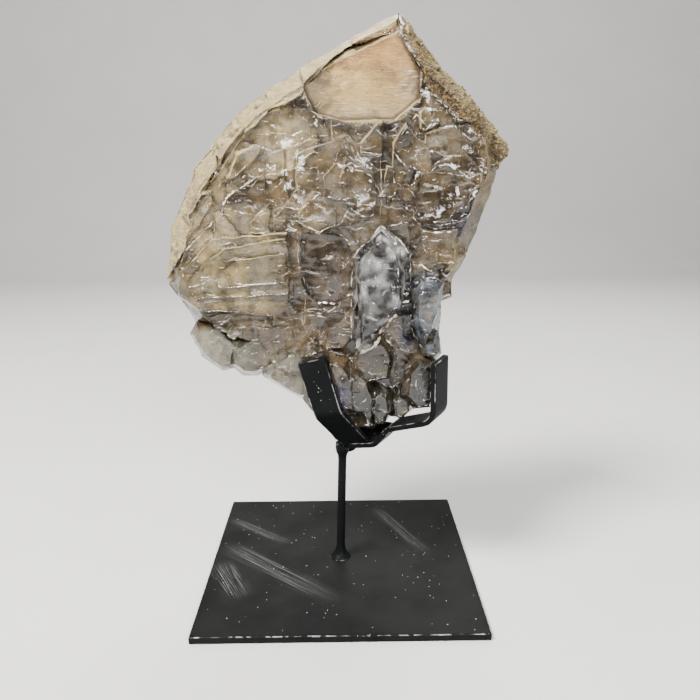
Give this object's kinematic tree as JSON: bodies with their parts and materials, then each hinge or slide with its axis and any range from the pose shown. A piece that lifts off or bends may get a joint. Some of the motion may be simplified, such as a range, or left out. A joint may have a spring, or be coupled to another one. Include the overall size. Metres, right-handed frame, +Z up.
{
  "type": "elestial quartz on a stand",
  "caption": "Smoky clear elestial quartz cluster with stepped skeletal faces and a pointed tip, held upright by a black three-pronged steel stand on a thin square base plate",
  "frame": {"origin": "centre of the underside of the square base plate", "axes": "+Z up, +X to the right of the show side, the show side faces -Y"},
  "size_m": [0.1835, 0.15, 0.303],
  "materials": {
    "quartz": "smoky grey-brown quartz, clear inside with milky veils, glossy stepped faces and a cream etched rim",
    "black_paint": "satin black powder coat with fine grain, scuffs on the base plate and worn bright edges"
  },
  "bodies": {
    "root": {"quartz": "quartz", "base_plate": "black_paint", "stem": "black_paint", "prong_front": "black_paint", "prong_right": "black_paint", "prong_back": "black_paint"}
  },
  "joints": []
}
